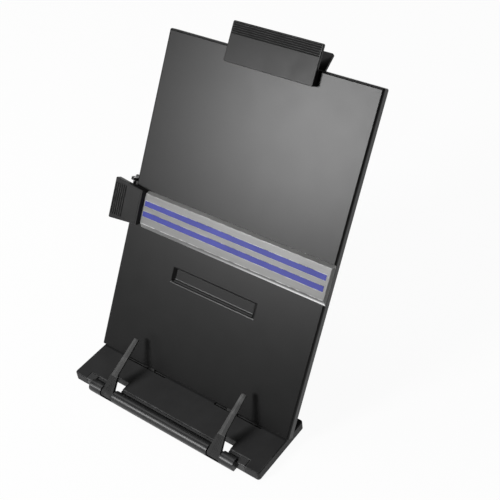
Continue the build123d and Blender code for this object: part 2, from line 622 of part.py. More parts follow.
with BuildPart() as leg_bracket:
    with BuildSketch(face_plane(-pocket_back)):
        with Locations((0, bracket_foot)):
            Rectangle(bracket_width, BRACKET_HEIGHT, align=(Align.CENTER, Align.MIN))
    extrude(amount=-BRACKET_SHEET)
    for ear_x in (-ear_inner - BRACKET_SHEET, ear_inner):
        with BuildSketch(side_plane(ear_x)):
            with BuildLine():
                Polyline(
                    (bracket_foot, -pocket_back),
                    (bracket_foot + BRACKET_HEIGHT, -pocket_back),
                    (pivot_up + EAR_RADIUS, -pivot_behind),
                    (pivot_up - EAR_RADIUS, -pivot_behind),
                    close=True,
                )
            make_face()
            with Locations((pivot_up, -pivot_behind)):
                Circle(EAR_RADIUS)
                Circle(wire_bore, mode=Mode.SUBTRACT)
        extrude(amount=BRACKET_SHEET)
leg_bracket.part.label = "leg_bracket"
export_step(leg_bracket.part, "parts/leg_bracket.step")

with BuildPart() as support_leg:
    with BuildLine(leg_plane) as leg_path:
        FilletPolyline(
            (-leg_end, 0),
            (-LEG_WIDTH / 2, 0),
            (-LEG_WIDTH / 2, LEG_LENGTH),
            (LEG_WIDTH / 2, LEG_LENGTH),
            (LEG_WIDTH / 2, 0),
            (leg_end, 0),
            radius=LEG_BEND,
        )
    with BuildSketch(Plane(origin=leg_path.line @ 0, z_dir=leg_path.line % 0)):
        Circle(WIRE / 2)
    sweep(path=leg_path.line)
support_leg.part.label = "support_leg"
export_step(support_leg.part, "parts/support_leg.step")

foot_centre = leg_plane.from_local_coords((0, LEG_LENGTH, 0))
with BuildPart() as leg_foot_sleeve:
    with BuildSketch(Plane.YZ.offset(-SLEEVE_LENGTH / 2)):
        with Locations((foot_centre.Y, foot_centre.Z)):
            Circle(SLEEVE_RADIUS)
            Circle(wire_bore, mode=Mode.SUBTRACT)
    extrude(amount=SLEEVE_LENGTH)
leg_foot_sleeve.part.label = "leg_foot_sleeve"
export_step(leg_foot_sleeve.part, "parts/leg_foot_sleeve.step")

with BuildPart() as leg_retainers:
    for side in (-1, 1):
        with BuildSketch(Plane.YZ.offset(side * cap_inner)):
            with Locations((pivot.Y, pivot.Z)):
                Circle(CAP_RADIUS)
        extrude(amount=side * (leg_end + CAP_WALL - cap_inner))
        with BuildSketch(Plane.YZ.offset(side * cap_inner)):
            with Locations((pivot.Y, pivot.Z)):
                Circle(wire_bore)
        extrude(amount=side * (leg_end - cap_inner), mode=Mode.SUBTRACT)
leg_retainers.part.label = "leg_retainers"
export_step(leg_retainers.part, "parts/leg_retainers.step")


# ---- coil springs of the clips ----
def spring_path(start, along, outward):
    """Coil round a pin that runs `along` from `start`, with a straight leg at each end.

    The legs point `outward`, one to the front plate and one to the rear plate. Each step of
    the coil is a pair of arcs that meet its true direction at both ends.
    """
    lean = radians(SPRING_FRONT_LEAN)
    leg_way = outward * cos(lean) + board.z_dir * sin(lean)
    frame = Plane(origin=start, x_dir=along, z_dir=leg_way * -1)

    def place(turn):
        angle = 2 * pi * turn
        round_pin = (SPRING_RADIUS * cos(angle), SPRING_RADIUS * sin(angle))
        return frame.from_local_coords((SPRING_PITCH * turn, *round_pin))

    def heading(turn):
        angle = 2 * pi * turn
        run = (SPRING_PITCH / (2 * pi), -SPRING_RADIUS * sin(angle), SPRING_RADIUS * cos(angle))
        return (frame.from_local_coords(run) - frame.origin).normalized()

    step = SPRING_TURNS / SPRING_HALF_TURNS
    edges = [Line(place(0) - heading(0) * SPRING_FRONT_LEG, place(0))]
    for count in range(SPRING_HALF_TURNS):
        first, last = place(count * step), place((count + 1) * step)
        first_way, last_way = heading(count * step), heading((count + 1) * step)
        chord = last - first
        bend = 2 * (1 - first_way.dot(last_way))
        ahead = chord.dot(first_way + last_way)
        reach = (hypot(ahead, sqrt(bend) * chord.length) - ahead) / bend
        middle = (first + last + (first_way - last_way) * reach) * 0.5
        middle_way = last - last_way * reach - first - first_way * reach
        edges.append(TangentArc(first, middle, tangent=first_way))
        edges.append(TangentArc(middle, last, tangent=middle_way))
    edges.append(Line(place(SPRING_TURNS), place(SPRING_TURNS) + heading(SPRING_TURNS) * SPRING_REAR_LEG))
    return Wire(edges)


def least_gap(path):
    """Least gap between the spring's wire and itself, over half a turn apart, on points."""
    points_per_turn = 60
    turns_apart = 0.6
    count = int(points_per_turn * SPRING_TURNS)
    points = [path @ (i / count) for i in range(count + 1)]
    skip = int(turns_apart * 2 * pi * SPRING_RADIUS * count / path.length)
    gaps = [(a - b).length for i, a in enumerate(points) for b in points[i + skip:]]
    return min(gaps) - SPRING_WIRE


spring_length = SPRING_PITCH * SPRING_TURNS

# ---- what both clips share: the rear plate's section and the lugs round the pin ----
flare = radians(HANDLE_FLARE)
rear_inner = -FLANGE_DEPTH - MOVE_GAP
rear_outer = rear_inner - REAR_SHEET
pin_press = CLIP_PIN / 2 + SEAT_GAP
pin_run = CLIP_PIN / 2 + SHAFT_GAP
rear_lug_height = -PIN_BEHIND - rear_inner + REAR_SHEET + PIN_BEYOND * sin(flare)


def rear_outline(edge, way):
    """Section of a rear plate: jaw behind the board's flange, handle flared beyond `edge`."""
    handle_end = edge + way * HANDLE_LENGTH * cos(flare)
    handle_inner = rear_inner - HANDLE_LENGTH * sin(flare)
    return Polyline(
        (edge - way * REAR_REACH, rear_inner),
        (edge, rear_inner),
        (handle_end, handle_inner),
        (handle_end - way * REAR_SHEET * sin(flare), handle_inner - REAR_SHEET * cos(flare)),
        (edge - way * REAR_SHEET * sin(flare) / 2, rear_outer),
        (edge - way * (REAR_REACH - REAR_SHEET / 2), rear_outer),
        close=True,
    )


# ---- top clip ----
top_left = TOP_CLIP_X - TOP_CLIP_WIDTH / 2
top_foot = BOARD_HEIGHT - TOP_CLIP_REACH
top_end = BOARD_HEIGHT + TOP_CLIP_ABOVE
top_pin = (BOARD_HEIGHT + PIN_BEYOND, -PIN_BEHIND)
top_lean = radians(TOP_CLIP_LEAN)
top_middle = board.from_local_coords((TOP_CLIP_X, BOARD_HEIGHT + PIN_BEYOND, -PIN_BEHIND))
top_pin_half = TOP_LUG_X + 2 * CLIP_LUG_WIDTH + MOVE_GAP


def top_front(up):
    """Height of the top clip's front surface over the board's face, at `up`."""
    return TOP_CLIP_LIFT - (up - top_foot) * tan(top_lean)


with BuildPart() as top_clip_rear:
    with BuildSketch(side_plane(top_left)):
        with BuildLine():
            rear_outline(BOARD_HEIGHT, 1)
        make_face()
    extrude(amount=TOP_CLIP_WIDTH)
    handle_corners = top_clip_rear.edges().filter_by(across, reverse=True).group_by(up_board)[-1]
    fillet(handle_corners, radius=TOP_CLIP_CORNER)
    for lug_x in (-top_pin_half, top_pin_half - CLIP_LUG_WIDTH):
        with BuildSketch(side_plane(TOP_CLIP_X + lug_x)):
            with Locations(top_pin):
                Circle(CLIP_LUG)
                Rectangle(2 * CLIP_LUG, rear_lug_height, align=(Align.CENTER, Align.MAX))
                Circle(pin_press, mode=Mode.SUBTRACT)
        extrude(amount=CLIP_LUG_WIDTH)
top_clip_rear.part.label = "top_clip_rear"
export_step(top_clip_rear.part, "parts/top_clip_rear.step")

with BuildPart() as top_clip_front:
    rim_top = top_foot + TOP_JAW_DEPTH
    with BuildSketch(side_plane(top_left)):
        with BuildLine():
            Polyline(
                (top_foot, JAW_CLEAR),
                (top_foot, TOP_CLIP_LIFT),
                (top_end, top_front(top_end)),
                (top_end, top_front(top_end) - TOP_CLIP_SHEET),
                (rim_top, top_front(rim_top) - TOP_CLIP_SHEET),
                (rim_top, JAW_CLEAR),
                close=True,
            )
        make_face()
    extrude(amount=TOP_CLIP_WIDTH)
    upright = top_clip_front.edges().filter_by(out_of_face).group_by(up_board)
    fillet(upright[0] + upright[-1], radius=TOP_CLIP_CORNER)
    fillet(top_clip_front.faces().sort_by(out_of_face)[-1].edges(), radius=TOP_CLIP_EDGE)
    with BuildSketch(side_plane(top_left + GROOVE_END)):
        for count in range(TOP_GROOVES):
            groove_up = top_end - TOP_GRIP + count * GROOVE_PITCH
            with Locations((groove_up, top_front(groove_up))):
                Rectangle(GROOVE_CUT, 2 * GROOVE_SINK, rotation=-TOP_CLIP_LEAN)
    extrude(amount=TOP_CLIP_WIDTH - 2 * GROOVE_END, mode=Mode.SUBTRACT)
    with BuildSketch(face_plane(JAW_CLEAR)):
        with Locations((TOP_CLIP_X, top_foot + TOP_JAW_DEPTH / 2)):
            Rectangle(TOP_CLIP_WIDTH - 2 * JAW_WALL, TOP_JAW_DEPTH - 2 * JAW_WALL)
    extrude(amount=PAD_ROOM, mode=Mode.SUBTRACT)
    for lug_x in (-TOP_LUG_X - CLIP_LUG_WIDTH, TOP_LUG_X):
        with BuildSketch(side_plane(TOP_CLIP_X + lug_x)):
            with Locations(top_pin):
                Circle(CLIP_LUG)
                lug_height = PIN_BEHIND + top_front(top_end) - TOP_CLIP_SHEET / 2
                Rectangle(2 * CLIP_LUG, lug_height, align=(Align.CENTER, Align.MIN))
                Circle(pin_run, mode=Mode.SUBTRACT)
        extrude(amount=CLIP_LUG_WIDTH)
top_clip_front.part.label = "top_clip_front"
export_step(top_clip_front.part, "parts/top_clip_front.step")

with BuildPart() as top_clip_pad:
    with BuildSketch(face_plane(MOVE_GAP)):
        with Locations((TOP_CLIP_X, top_foot + TOP_JAW_DEPTH / 2)):
            pad_width = TOP_CLIP_WIDTH - 2 * JAW_WALL - 2 * SEAT_GAP
            Rectangle(pad_width, TOP_JAW_DEPTH - 2 * JAW_WALL - 2 * SEAT_GAP)
    extrude(amount=JAW_CLEAR + PAD_ROOM - SEAT_GAP - MOVE_GAP)
top_clip_pad.part.label = "top_clip_pad"
export_step(top_clip_pad.part, "parts/top_clip_pad.step")

with BuildPart() as top_clip_pin:
    with BuildSketch(side_plane(TOP_CLIP_X - top_pin_half)):
        with Locations(top_pin):
            Circle(CLIP_PIN / 2)
    extrude(amount=2 * top_pin_half)
    chamfer(top_clip_pin.edges().filter_by(GeomType.CIRCLE), length=ROD_CHAMFER)
top_clip_pin.part.label = "top_clip_pin"
export_step(top_clip_pin.part, "parts/top_clip_pin.step")

top_spring_path = spring_path(top_middle - board.x_dir * spring_length / 2, board.x_dir, board.y_dir)
with BuildPart() as top_clip_spring:
    with BuildSketch(Plane(origin=top_spring_path @ 0, z_dir=top_spring_path % 0)):
        Circle(SPRING_WIRE / 2)
    sweep(path=top_spring_path)
top_clip_spring.part.label = "top_clip_spring"
export_step(top_clip_spring.part, "parts/top_clip_spring.step")
print(f"least gap between the spring's turns {least_gap(top_spring_path):.2f} mm")

# ---- guide clip ----
board_left = -BOARD_WIDTH / 2
guide_left = board_left - GUIDE_BEYOND
guide_right = board_left + GUIDE_REACH
guide_top = GUIDE_FOOT + GUIDE_HEIGHT
guide_up = GUIDE_FOOT + GUIDE_HEIGHT / 2
guide_rear_top = guide_top + GUIDE_REAR_TOP
guide_rear_height = guide_rear_top - GUIDE_FOOT - GUIDE_REAR_FOOT
guide_pin = (board_left - PIN_BEYOND, -PIN_BEHIND)
guide_middle = board.from_local_coords((board_left - PIN_BEYOND, guide_up, -PIN_BEHIND))
end_lug_width = GUIDE_REAR_TOP - MOVE_GAP
guide_low_lug = guide_up - GUIDE_LUG_Y - CLIP_LUG_WIDTH - MOVE_GAP
guide_pin_length = guide_rear_top - guide_low_lug + CLIP_LUG_WIDTH
guide_pad_x = board_left + (GUIDE_REACH - TONGUE_LENGTH) / 2
guide_pad_width = GUIDE_REACH - TONGUE_LENGTH - 2 * JAW_WALL
guide_pad_length = GUIDE_HEIGHT - 2 * GUIDE_TAPER - 2 * JAW_WALL
tongue_top = RULER_LIFT - SEAT_GAP

with BuildPart() as guide_clip_rear:
    with BuildSketch(cross_plane(guide_rear_top)):
        with BuildLine():
            rear_outline(board_left, -1)
        make_face()
    extrude(amount=guide_rear_height)
    handle_corners = guide_clip_rear.edges().filter_by(up_board, reverse=True).group_by(across)[0]
    fillet(handle_corners, radius=GUIDE_CORNER)
    for lug_top_up, lug_width in ((guide_rear_top, end_lug_width), (guide_low_lug, CLIP_LUG_WIDTH)):
        with BuildSketch(cross_plane(lug_top_up)):
            with Locations(guide_pin):
                Circle(CLIP_LUG)
                Rectangle(2 * CLIP_LUG, rear_lug_height, align=(Align.CENTER, Align.MAX))
                Circle(pin_press, mode=Mode.SUBTRACT)
        extrude(amount=lug_width)
guide_clip_rear.part.label = "guide_clip_rear"
export_step(guide_clip_rear.part, "parts/guide_clip_rear.step")

with BuildPart() as guide_clip_front:
    with BuildSketch(face_plane(JAW_CLEAR)) as guide_plan:
        with BuildLine():
            Polyline(
                (guide_left, GUIDE_FOOT),
                (guide_right, GUIDE_FOOT + GUIDE_TAPER),
                (guide_right, guide_top - GUIDE_TAPER),
                (guide_left, guide_top),
                close=True,
            )
        make_face()
        fillet(guide_plan.vertices(), radius=GUIDE_CORNER)
    extrude(amount=GUIDE_LIFT - JAW_CLEAR)
    fillet(guide_clip_front.faces().sort_by(out_of_face)[-1].edges(), radius=GUIDE_EDGE)
    with BuildSketch(cross_plane(guide_top)):
        with BuildLine():
            Polyline(
                (guide_right - GUIDE_BEVEL, GUIDE_LIFT),
                (guide_right, GUIDE_LIFT - GUIDE_BEVEL_DROP),
                (guide_right + GUIDE_BEVEL, GUIDE_LIFT - GUIDE_BEVEL_DROP),
                (guide_right + GUIDE_BEVEL, GUIDE_LIFT),
                close=True,
            )
        make_face()
    extrude(amount=GUIDE_HEIGHT, mode=Mode.SUBTRACT)
    grip_width = GUIDE_BEYOND - MOVE_GAP
    with BuildSketch(face_plane(JAW_CLEAR)):
        with Locations((guide_left, guide_up)):
            Rectangle(grip_width, GUIDE_HEIGHT, align=(Align.MIN, Align.CENTER))
    extrude(amount=GUIDE_LIFT - GUIDE_RIM - JAW_CLEAR, mode=Mode.SUBTRACT)
    with BuildSketch(face_plane(GUIDE_LIFT - GUIDE_RIM)):
        with Locations((guide_left + JAW_WALL, guide_up)):
            hollow_length = GUIDE_HEIGHT - GUIDE_TAPER - 2 * JAW_WALL
            Rectangle(grip_width - 2 * JAW_WALL, hollow_length, align=(Align.MIN, Align.CENTER))
    extrude(amount=GUIDE_RIM - GUIDE_SHELL, mode=Mode.SUBTRACT)
    with BuildSketch(face_plane(JAW_CLEAR)):
        with Locations((guide_pad_x, guide_up)):
            Rectangle(guide_pad_width, guide_pad_length)
    extrude(amount=PAD_ROOM, mode=Mode.SUBTRACT)
    with BuildSketch(face_plane(tongue_top + SEAT_GAP)):
        with Locations((guide_right, RULER_FOOT + RULER_HEIGHT / 2)):
            slot_size = (TONGUE_LENGTH, TONGUE_WIDTH + 2 * SEAT_GAP)
            Rectangle(*slot_size, align=(Align.MAX, Align.CENTER))
    extrude(amount=-TONGUE_SHEET - 2 * SEAT_GAP, mode=Mode.SUBTRACT)
    with BuildSketch(face_plane(GUIDE_LIFT)):
        with Locations((guide_left + GUIDE_GROOVE_START, guide_up)):
            for count in range(GUIDE_GROOVES):
                with Locations((count * GUIDE_GROOVE_PITCH, 0)):
                    Rectangle(GUIDE_GROOVE_CUT, GUIDE_HEIGHT - 2 * GUIDE_GRIP_END)
    extrude(amount=-GUIDE_GROOVE_SINK, mode=Mode.SUBTRACT)
    for lug_top_up in (guide_up - GUIDE_LUG_Y, guide_up + GUIDE_LUG_Y + CLIP_LUG_WIDTH):
        with BuildSketch(cross_plane(lug_top_up)):
            with Locations(guide_pin):
                Circle(CLIP_LUG)
                lug_height = PIN_BEHIND + GUIDE_LIFT - GUIDE_SHELL / 2
                Rectangle(2 * CLIP_LUG, lug_height, align=(Align.CENTER, Align.MIN))
                Circle(pin_run, mode=Mode.SUBTRACT)
        extrude(amount=CLIP_LUG_WIDTH)
guide_clip_front.part.label = "guide_clip_front"
export_step(guide_clip_front.part, "parts/guide_clip_front.step")

with BuildPart() as guide_clip_pad:
    with BuildSketch(face_plane(MOVE_GAP)):
        with Locations((guide_pad_x, guide_up)):
            Rectangle(guide_pad_width - 2 * SEAT_GAP, guide_pad_length - 2 * SEAT_GAP)
    extrude(amount=JAW_CLEAR + PAD_ROOM - SEAT_GAP - MOVE_GAP)
guide_clip_pad.part.label = "guide_clip_pad"
export_step(guide_clip_pad.part, "parts/guide_clip_pad.step")

with BuildPart() as guide_clip_pin:
    with BuildSketch(cross_plane(guide_rear_top)):
        with Locations(guide_pin):
            Circle(CLIP_PIN / 2)
    extrude(amount=guide_pin_length)
    chamfer(guide_clip_pin.edges().filter_by(GeomType.CIRCLE), length=ROD_CHAMFER)
guide_clip_pin.part.label = "guide_clip_pin"
export_step(guide_clip_pin.part, "parts/guide_clip_pin.step")

guide_spring_start = guide_middle - board.y_dir * spring_length / 2
guide_spring_path = spring_path(guide_spring_start, board.y_dir, board.x_dir * -1)
with BuildPart() as guide_clip_spring:
    with BuildSketch(Plane(origin=guide_spring_path @ 0, z_dir=guide_spring_path % 0)):
        Circle(SPRING_WIRE / 2)
    sweep(path=guide_spring_path)
guide_clip_spring.part.label = "guide_clip_spring"
export_step(guide_clip_spring.part, "parts/guide_clip_spring.step")

# ---- line guide: clear channel open to the board, with a tongue held in the clip ----
ruler_left = guide_right + SEAT_GAP
ruler_right = BOARD_WIDTH / 2 + RULER_BEYOND


def ruler_slice(height, inset):
    """Rectangle of the guide's sloped channel at `height` over the board, drawn in by `inset`."""
    share = (height - RULER_CLEAR) / (RULER_LIFT - RULER_CLEAR)
    left = ruler_left + inset
    right = ruler_right - share * RULER_END_BEVEL - inset
    foot = RULER_FOOT + share * RULER_FOOT_BEVEL + inset
    top = RULER_FOOT + RULER_HEIGHT - share * RULER_TOP_BEVEL - inset
    with BuildSketch(face_plane(height)) as rectangle:
        with Locations(((left + right) / 2, (foot + top) / 2)):
            Rectangle(right - left, top - foot)
    return rectangle.sketch


stripe_left = ruler_left + RULER_WALL
stripe_right = ruler_right - STRIPE_END
with BuildSketch(face_plane(RULER_LIFT - STRIPE_DEPTH)) as stripe_plan:
    with Locations((stripe_left, STRIPE_UPPER), (stripe_left, STRIPE_LOWER)):
        Rectangle(stripe_right - stripe_left, STRIPE_WIDTH, align=(Align.MIN, Align.CENTER))

with BuildPart() as guide_ruler:
    loft([ruler_slice(RULER_CLEAR, 0), ruler_slice(RULER_LIFT, 0)])
    hollow = [ruler_slice(RULER_CLEAR, RULER_WALL), ruler_slice(RULER_LIFT - RULER_WALL, RULER_WALL)]
    loft(hollow, mode=Mode.SUBTRACT)
    with BuildSketch(face_plane(tongue_top)):
        with Locations((ruler_left + RULER_WALL / 2, RULER_FOOT + RULER_HEIGHT / 2)):
            tongue_size = (TONGUE_LENGTH + RULER_WALL / 2 - SEAT_GAP, TONGUE_WIDTH)
            Rectangle(*tongue_size, align=(Align.MAX, Align.CENTER))
    extrude(amount=-TONGUE_SHEET)
    extrude(stripe_plan.sketch, amount=STRIPE_DEPTH, dir=board.z_dir, mode=Mode.SUBTRACT)
guide_ruler.part.label = "guide_ruler"
export_step(guide_ruler.part, "parts/guide_ruler.step")

with BuildPart() as guide_stripes:
    extrude(stripe_plan.sketch, amount=STRIPE_DEPTH, dir=board.z_dir)
guide_stripes.part.label = "guide_stripes"
export_step(guide_stripes.part, "parts/guide_stripes.step")
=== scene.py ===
import json
from math import cos, pi, radians, sin, tan

import bmesh
import bpy
from mathutils import Matrix, Vector


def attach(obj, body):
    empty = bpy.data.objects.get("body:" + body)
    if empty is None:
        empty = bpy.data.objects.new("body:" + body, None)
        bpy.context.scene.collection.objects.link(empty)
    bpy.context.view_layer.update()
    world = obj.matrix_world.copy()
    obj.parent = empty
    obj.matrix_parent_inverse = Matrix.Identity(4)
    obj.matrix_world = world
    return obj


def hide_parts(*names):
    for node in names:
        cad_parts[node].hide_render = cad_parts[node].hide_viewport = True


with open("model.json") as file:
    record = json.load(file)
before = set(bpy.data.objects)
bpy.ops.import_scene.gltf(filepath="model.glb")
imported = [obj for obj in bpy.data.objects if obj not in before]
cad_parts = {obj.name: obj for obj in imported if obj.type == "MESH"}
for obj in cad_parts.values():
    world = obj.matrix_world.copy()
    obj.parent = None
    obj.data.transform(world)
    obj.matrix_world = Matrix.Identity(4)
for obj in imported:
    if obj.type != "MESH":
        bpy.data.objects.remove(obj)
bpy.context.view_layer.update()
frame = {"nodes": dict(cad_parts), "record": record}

# ---- base moulding ----
# One black injection moulding, open underneath, that lies flat on the desk. The mould leaves a
# fine spark-eroded texture on its faces and a small radius on every edge.

record = frame["record"]
body_of = {node: body for body, group in record["behaviour"]["bodies"].items() for node in group}


def step(tree, kind, sockets=(), **settings):
    """One node in `tree`; `sockets` holds a value or a link for each input socket."""
    node = tree.nodes.new(kind)
    for name, value in settings.items():
        setattr(node, name, value)
    for name, value in dict(sockets).items():
        if isinstance(value, bpy.types.NodeSocket):
            tree.links.new(value, node.inputs[name])
        else:
            node.inputs[name].default_value = value
    return node


def effect(name, inputs, outputs):
    """A shader node group with named number sockets; gives the group and its two ends."""
    group = bpy.data.node_groups.new(name, "ShaderNodeTree")
    for socket, value in inputs.items():
        made = group.interface.new_socket(socket, in_out="INPUT", socket_type="NodeSocketFloat")
        made.default_value = value
    for socket in outputs:
        group.interface.new_socket(socket, in_out="OUTPUT", socket_type="NodeSocketFloat")
    given = group.nodes.new("NodeGroupInput").outputs
    return group, given, group.nodes.new("NodeGroupOutput").inputs


grain, given, result = effect(
    "surface grain",
    {"Along X": 2600.0, "Along Y": 2600.0, "Along Z": 2600.0, "Mottle": 45.0, "Fine share": 0.3},
    ["Height", "Shade"],
)
place = step(grain, "ShaderNodeTexCoord").outputs["Object"]
spacing = {"X": given["Along X"], "Y": given["Along Y"], "Z": given["Along Z"]}
per_metre = step(grain, "ShaderNodeCombineXYZ", spacing)
scaled = {0: place, 1: per_metre.outputs[0]}
marks = step(grain, "ShaderNodeVectorMath", scaled, operation="MULTIPLY")
fine = step(grain, "ShaderNodeTexNoise", {"Vector": marks.outputs[0], "Scale": 1.0, "Detail": 2.0})
clouds = {"Vector": place, "Scale": given["Mottle"], "Detail": 4.0}
broad = step(grain, "ShaderNodeTexNoise", clouds)
both = {"Factor": given["Fine share"], "A": broad.outputs["Fac"], "B": fine.outputs["Fac"]}
blend = step(grain, "ShaderNodeMix", both, data_type="FLOAT")
contrast = {"Value": blend.outputs["Result"], "From Min": 0.35, "From Max": 0.65}
shade = step(grain, "ShaderNodeMapRange", contrast)
grain.links.new(fine.outputs["Fac"], result["Height"])
grain.links.new(shade.outputs[0], result["Shade"])

gloss_variation, given, result = effect(
    "gloss variation", {"Roughness": 0.5, "Spread": 0.1, "Patches": 60.0}, ["Roughness"]
)
place = step(gloss_variation, "ShaderNodeTexCoord").outputs["Object"]
clouds = {"Vector": place, "Scale": given["Patches"], "Detail": 5.0}
patches = step(gloss_variation, "ShaderNodeTexNoise", clouds)
about_zero = {0: patches.outputs["Fac"], 1: 0.5}
centred = step(gloss_variation, "ShaderNodeMath", about_zero, operation="SUBTRACT")
change = {0: centred.outputs[0], 1: given["Spread"], 2: given["Roughness"]}
varied = step(gloss_variation, "ShaderNodeMath", change, operation="MULTIPLY_ADD")
gloss_variation.links.new(varied.outputs[0], result["Roughness"])

# Narrow faces of rounded edges grow lighter in patches: partly rubbed wear, partly a painted
# highlight along the edges.
edge_wear_and_sheen, given, result = effect(
    "edge wear and painted sheen", {"Edge": 0.0, "Amount": 0.4, "Patches": 140.0}, ["Wear"]
)
place = step(edge_wear_and_sheen, "ShaderNodeTexCoord").outputs["Object"]
clouds = {"Vector": place, "Scale": given["Patches"], "Detail": 3.0}
patches = step(edge_wear_and_sheen, "ShaderNodeTexNoise", clouds)
contrast = {"Value": patches.outputs["Fac"], "From Min": 0.4, "From Max": 0.6}
rubbed_and_sheen = step(edge_wear_and_sheen, "ShaderNodeMapRange", contrast)
only_there = {0: rubbed_and_sheen.outputs[0], 1: given["Edge"]}
at_edge = step(edge_wear_and_sheen, "ShaderNodeMath", only_there, operation="MULTIPLY")
as_strong = {0: at_edge.outputs[0], 1: given["Amount"]}
worn_and_sheen = step(edge_wear_and_sheen, "ShaderNodeMath", as_strong, operation="MULTIPLY")
edge_wear_and_sheen.links.new(worn_and_sheen.outputs[0], result["Wear"])


WORN_AND_SHEEN_LIGHTER = 2.2   # a rubbed edge with its painted sheen, against the lighter shade
GRAIN_DEPTH = 0.0001


def finish(
    name,
    dark,
    light,
    roughness,
    spread=0.1,
    marks=(2600, 2600, 2600),
    fine=0.3,
    relief=0.12,
    wear_and_sheen=0.4,
    **own,
):
    """A material between two shades, with a fine grain, uneven gloss and edges lightened by wear
    and a painted highlight.

    `marks` are the grains per metre on each axis, `own` the shader's own plain values.
    """
    material = bpy.data.materials.new(name)
    material.use_nodes = True
    tree = material.node_tree
    shader = tree.nodes["Principled BSDF"]
    along = dict(zip(("Along X", "Along Y", "Along Z"), marks))
    skin = step(tree, "ShaderNodeGroup", {**along, "Fine share": fine}, node_tree=grain)
    unevenness = {"Roughness": roughness, "Spread": spread}
    gloss = step(tree, "ShaderNodeGroup", unevenness, node_tree=gloss_variation)
    edge = step(tree, "ShaderNodeAttribute", attribute_name="edge")
    use = {"Edge": edge.outputs["Fac"], "Amount": wear_and_sheen}
    rubbed_and_sheen = step(tree, "ShaderNodeGroup", use, node_tree=edge_wear_and_sheen)
    shades = {"Factor": skin.outputs["Shade"], "A": (*dark, 1.0), "B": (*light, 1.0)}
    shade = step(tree, "ShaderNodeMix", shades, data_type="RGBA")
    # lighter edges: rubbed wear, and a painted highlight where the rounded edges catch the light
    rubbed_and_sheen_colour = (*(min(1.0, WORN_AND_SHEEN_LIGHTER * part) for part in light), 1.0)
    layers = {"Factor": rubbed_and_sheen.outputs["Wear"], "A": shade.outputs["Result"], "B": rubbed_and_sheen_colour}
    colour = step(tree, "ShaderNodeMix", layers, data_type="RGBA")
    hills = {"Height": skin.outputs["Height"], "Strength": relief, "Distance": GRAIN_DEPTH}
    bump = step(tree, "ShaderNodeBump", hills)
    tree.links.new(colour.outputs["Result"], shader.inputs["Base Color"])
    tree.links.new(gloss.outputs["Roughness"], shader.inputs["Roughness"])
    tree.links.new(bump.outputs["Normal"], shader.inputs["Normal"])
    for socket, value in own.items():
        shader.inputs[socket.replace("_", " ")].default_value = value
    return material


def as_plain_mesh(piece):
    """Bakes the piece's modifiers into its mesh and removes them."""
    graph = bpy.context.evaluated_depsgraph_get()
    mesh = bpy.data.meshes.new_from_object(piece.evaluated_get(graph))
    piece.modifiers.clear()
    piece.data = mesh
    return mesh


NARROW = 0.0006      # a face narrower than this is part of a rounded edge
CRISP = radians(32)  # folds sharper than this stay sharp


def corner_normal(face, corner):
    """Normal of a face at one corner: that of the faces it blends with there, large ones first."""
    blend = [face]
    for near in blend:
        for edge in near.edges:
            if corner in edge.verts and edge.calc_face_angle(pi) < CRISP:
                blend += [other for other in edge.link_faces if other not in blend]
    return sum((near.normal * near.calc_area() ** 2 for near in blend), Vector()).normalized()


def seat(piece, node, stands_for=True):
    """Marks rounded edges, keeps flat faces flat and puts the piece on its CAD node's body."""
    mesh = piece.data
    mesh.shade_smooth()
    mesh.set_sharp_from_angle(angle=CRISP)
    shape = bmesh.new()
    shape.from_mesh(mesh)
    narrow = [float(2 * face.calc_area() < NARROW * face.calc_perimeter()) for face in shape.faces]
    normals = [corner_normal(face, corner) for face in shape.faces for corner in face.verts]
    shape.free()
    mesh.attributes.new("edge", "FLOAT", "FACE").data.foreach_set("value", narrow)
    mesh.normals_split_custom_set(normals)
    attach(piece, body_of[node])
    if stands_for:
        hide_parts(node)


def round_edges(piece, radius):
    """Rounds the piece's sharp edges by `radius`, in metres."""
    bevel = piece.modifiers.new("mould radius", "BEVEL")
    bevel.width = radius
    bevel.segments = 2
    bevel.limit_method = "ANGLE"
    bevel.angle_limit = CRISP
    bevel.use_clamp_overlap = False
    as_plain_mesh(piece)


SAME_POINT = 1e-6
SAME_PLANE = radians(0.6)


def dress(name, node, material, edge=0.0, pressed=None):
    """Stands for a CAD node: the same shape, its sharp edges rounded by `edge`, in metres.

    `pressed` gives a test of points and a radius, for edges that are rounded more than the rest.
    """
    shape = bmesh.new()
    shape.from_mesh(frame["nodes"][node].data)
    bmesh.ops.remove_doubles(shape, verts=shape.verts, dist=SAME_POINT)
    bmesh.ops.dissolve_limit(shape, angle_limit=SAME_PLANE, verts=shape.verts, edges=shape.edges)
    if pressed:
        inside, radius = pressed
        bends = [line for line in shape.edges if all(inside(end.co) for end in line.verts)]
        bmesh.ops.bevel(
            shape,
            geom=bends,
            offset=radius,
            segments=4,
            profile=0.5,
            affect="EDGES",
            clamp_overlap=False,
        )
    mesh = bpy.data.meshes.new(name)
    shape.to_mesh(mesh)
    shape.free()
    mesh.materials.clear()
    mesh.materials.append(material)
    piece = bpy.data.objects.new(name, mesh)
    bpy.context.scene.collection.objects.link(piece)
    if edge:
        round_edges(piece, edge)
    seat(piece, node)
    return piece


base_plastic = finish(
    "textured black base plastic",
    dark=(0.019, 0.019, 0.0193),
    light=(0.027, 0.027, 0.0273),
    roughness=0.5,
    wear_and_sheen=0.8,
    Specular_IOR_Level=0.15,
)
dress("base_moulding", "base_plate", base_plastic, edge=0.0002)

# ---- bottom plate, screws and feet ----
# A zinc-plated steel plate closes the base from below and weights it. Slotted screws hold it,
# and rubber keeps the part from sliding on the desk.

